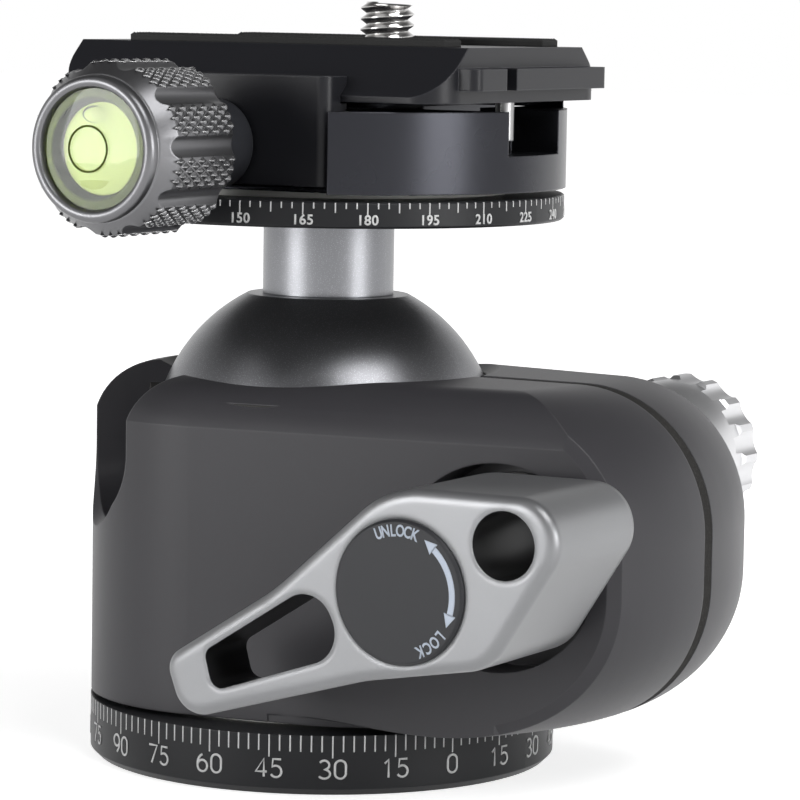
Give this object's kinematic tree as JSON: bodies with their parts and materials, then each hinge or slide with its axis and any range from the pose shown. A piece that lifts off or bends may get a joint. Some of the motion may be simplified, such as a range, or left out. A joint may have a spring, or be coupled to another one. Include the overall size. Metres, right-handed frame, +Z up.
{
  "type": "tripod ball head",
  "caption": "Low tripod ball head with a silver lock lever, panning base and panning clamp with a dovetail quick plate.",
  "frame": {"origin": "centre of the base's underside, at the mouth of the tripod thread", "axes": "+Z up along the pan axis and the camera screw, +X along the clamping nose, -Y the side with the lever and the clamp knob"},
  "size_m": [0.0807, 0.0871, 0.0907],
  "materials": {
    "black_housing": "satin black, fine bead-blast",
    "black_clamp": "satin black anodised",
    "dark_ball": "bead-blasted dark grey",
    "silver_satin": "satin silver, bead-blasted",
    "grey_alloy": "dark satin",
    "steel": "bright turned",
    "brass": "turned",
    "rubber_black": "matte, serrated",
    "foam_black": "fuzzy foam strip",
    "nylon_white": "matte",
    "liner_bronze": "filled bearing plastic",
    "cap_black": "smooth black",
    "level_green": "clear window over green fluid"
  },
  "bodies": {
    "base": {"pan_base": "black_housing", "thread_insert": "steel", "pan_washer": "nylon_white", "pan_retainer": "steel", "retainer_screws": "steel"},
    "housing": {"housing": "black_housing", "housing_floor": "black_housing", "floor_screws": "steel", "cup_socket": "liner_bronze", "slit_seal": "foam_black", "upper_seat_near": "liner_bronze", "upper_seat_rear": "liner_bronze", "upper_seat_far": "liner_bronze", "tension_bolt": "steel", "thrust_washer": "brass", "friction_anchor": "brass", "brake_shoe": "nylon_white"},
    "lever": {"lever": "silver_satin", "lever_hub": "steel", "lever_cap": "cap_black"},
    "friction": {"friction_knob": "silver_satin", "friction_screw": "steel"},
    "pan_lock": {"pan_knob": "silver_satin", "pan_screw": "steel"},
    "cup": {"floating_cup": "liner_bronze"},
    "ball": {"ball": "dark_ball", "stem": "silver_satin", "pan_ring": "black_clamp", "top_washer": "steel", "top_screw": "steel", "top_liner": "nylon_white"},
    "clamp": {"clamp_body": "black_clamp", "guide_pins": "steel"},
    "jaw": {"clamp_jaw": "black_clamp"},
    "clamp_knob": {"clamp_knob": "grey_alloy", "clamp_rim": "silver_satin", "bubble_level": "level_green", "clamp_collar": "grey_alloy", "clamp_screw": "steel"},
    "plate": {"quick_plate": "black_clamp", "pad_near": "rubber_black", "pad_far": "rubber_black", "stop_pins": "steel"},
    "camera_screw": {"camera_screw": "steel"}
  },
  "joints": [
    {"name": "pan_turn", "type": "hinge", "parent": "base", "child": "housing", "pos_m": [0, 0, 0.01], "axis": [0, 0, 1], "continuous": true},
    {"name": "lever_swing", "type": "hinge", "parent": "housing", "child": "lever", "pos_m": [0.0337, -0.03, 0.0274], "axis": [0, 1, 0], "range_deg": [-10, 110]},
    {"name": "friction_turn", "type": "hinge", "parent": "housing", "child": "friction", "pos_m": [0.0314, 0.03, 0.0354], "axis": [0, 1, 0], "range_deg": [-180, 540]},
    {"name": "pan_lock_turn", "type": "hinge", "parent": "housing", "child": "pan_lock", "pos_m": [0.004, 0.03, 0.0106], "axis": [0, 1, 0], "range_deg": [-45, 360]},
    {"name": "tilt_side", "type": "hinge", "parent": "housing", "child": "cup", "pos_m": [0, 0, 0.037], "axis": [-0.7431, -0.6691, 0], "range_deg": [-15, 15]},
    {"name": "tilt_drop", "type": "hinge", "parent": "cup", "child": "ball", "pos_m": [0, 0, 0.037], "axis": [0.6691, -0.7431, 0], "range_deg": [-15, 90]},
    {"name": "clamp_pan", "type": "hinge", "parent": "ball", "child": "clamp", "pos_m": [0, 0, 0.07], "axis": [0, 0, 1], "continuous": true},
    {"name": "jaw_slide", "type": "slide", "parent": "clamp", "child": "jaw", "axis": [0, -1, 0], "range_m": [0, 0.003]},
    {"name": "knob_turn", "type": "hinge", "parent": "jaw", "child": "clamp_knob", "pos_m": [-0.0012, -0.03, 0.074], "axis": [0, -1, 0], "range_deg": [0, 1080]},
    {"name": "plate_slide", "type": "slide", "parent": "clamp", "child": "plate", "axis": [1, 0, 0], "range_m": [-0.0017, 0.0017]},
    {"name": "camera_screw_turn", "type": "hinge", "parent": "plate", "child": "camera_screw", "pos_m": [0.00765, 0, 0.088], "axis": [0, 0, 1], "continuous": true}
  ],
  "couplings": [
    {"joint": "knob_turn", "follows": "jaw_slide", "rad_per_m": 6283.2}
  ]
}
